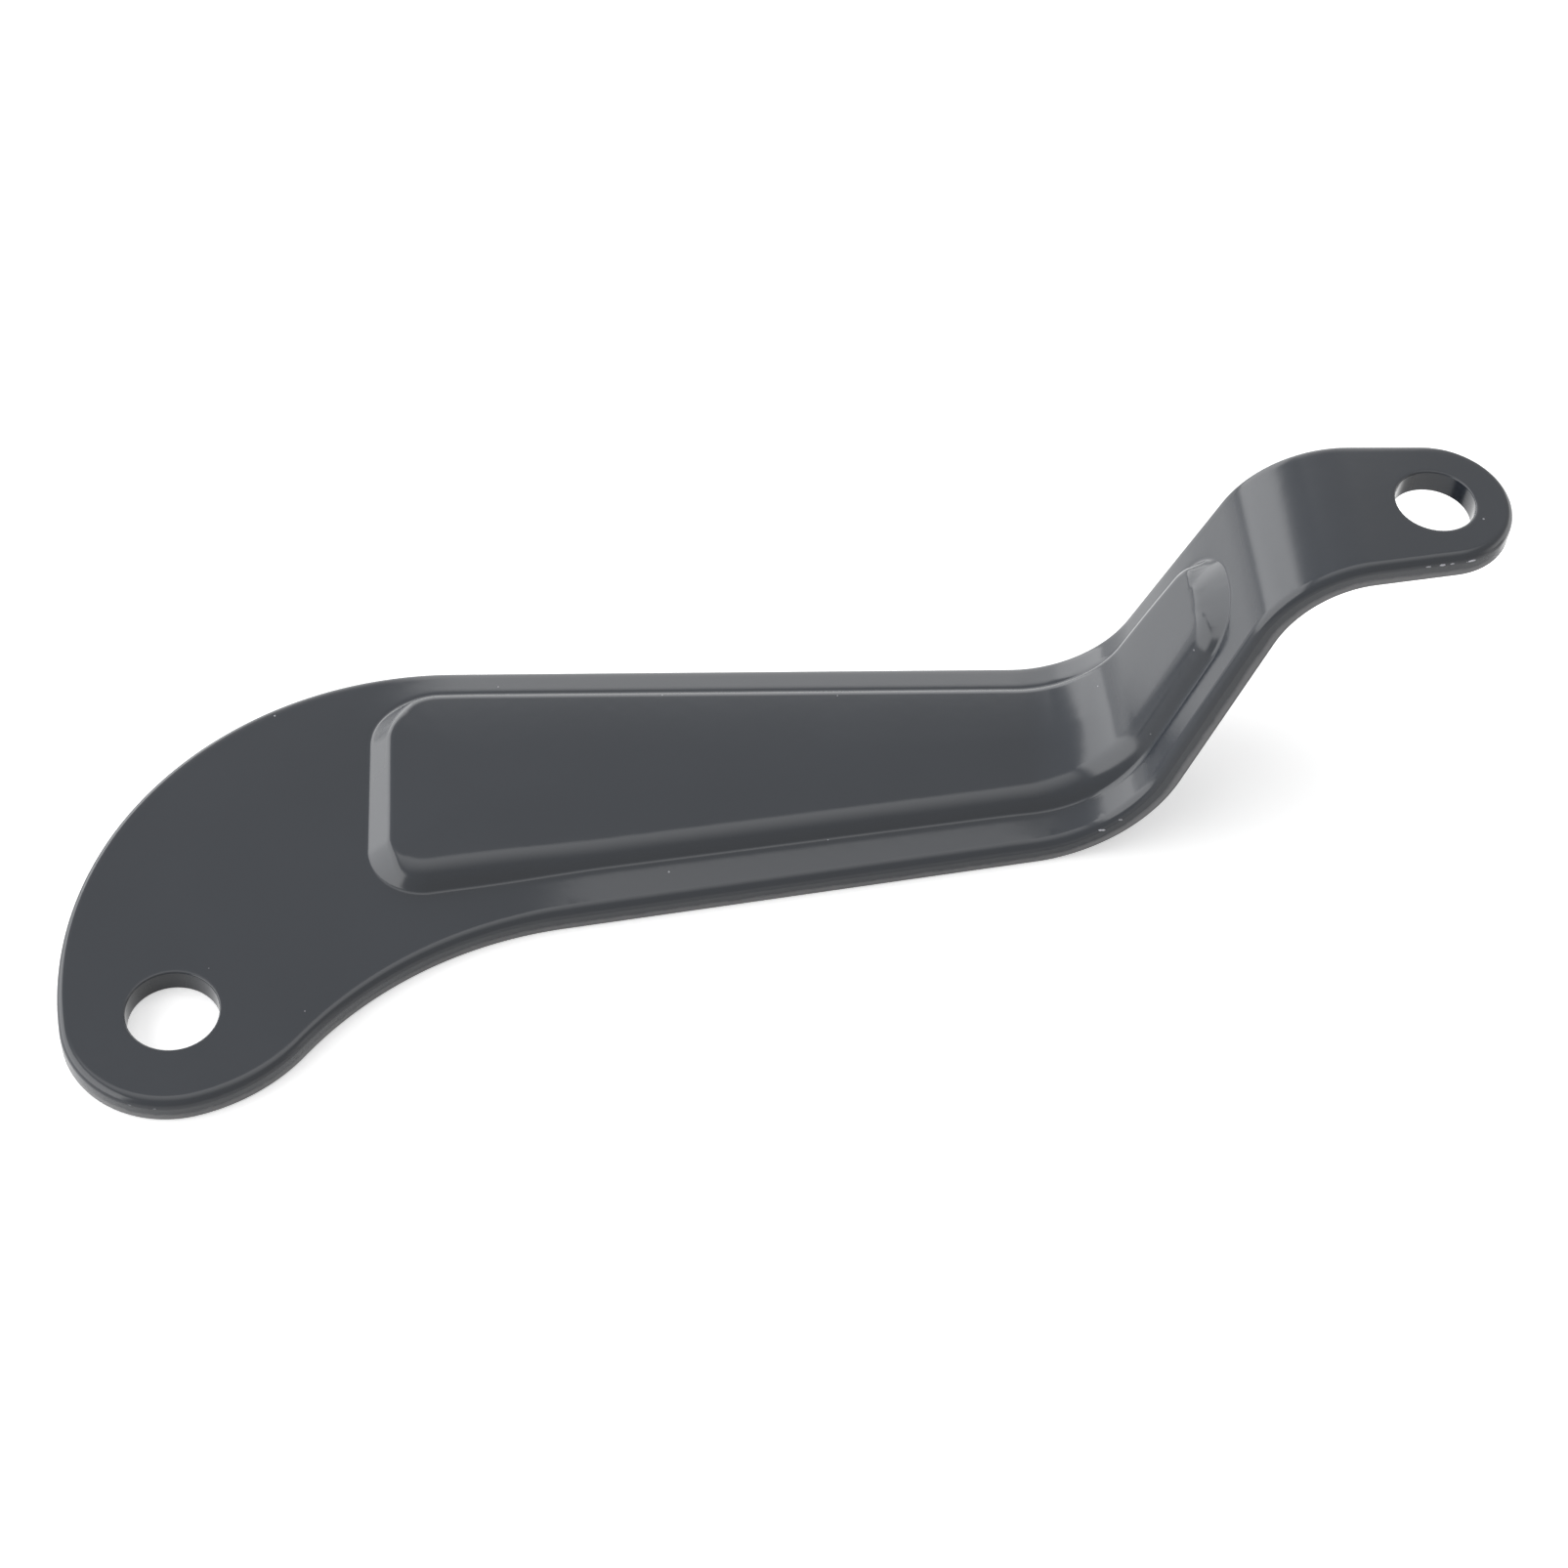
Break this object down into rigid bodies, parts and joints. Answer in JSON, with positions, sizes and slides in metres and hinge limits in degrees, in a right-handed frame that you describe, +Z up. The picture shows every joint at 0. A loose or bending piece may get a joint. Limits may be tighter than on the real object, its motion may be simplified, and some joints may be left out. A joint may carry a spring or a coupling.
{
  "type": "dynamo bracket",
  "caption": "Pressed steel strap bracket: a broad bolting pad, a raised stiffening panel and a joggle up to a small drilled lug, painted black.",
  "frame": {"origin": "below the middle of the bracket, on the surface that its pad and strap lie on", "axes": "+X along the strap from the bolting pad to the lug, +Z up, towards the raised lug and the raised panel"},
  "size_m": [0.143, 0.0538, 0.036],
  "materials": {
    "black_paint": "glossy black paint over steel"
  },
  "bodies": {
    "root": {"bracket_plate": "black_paint"}
  },
  "joints": []
}
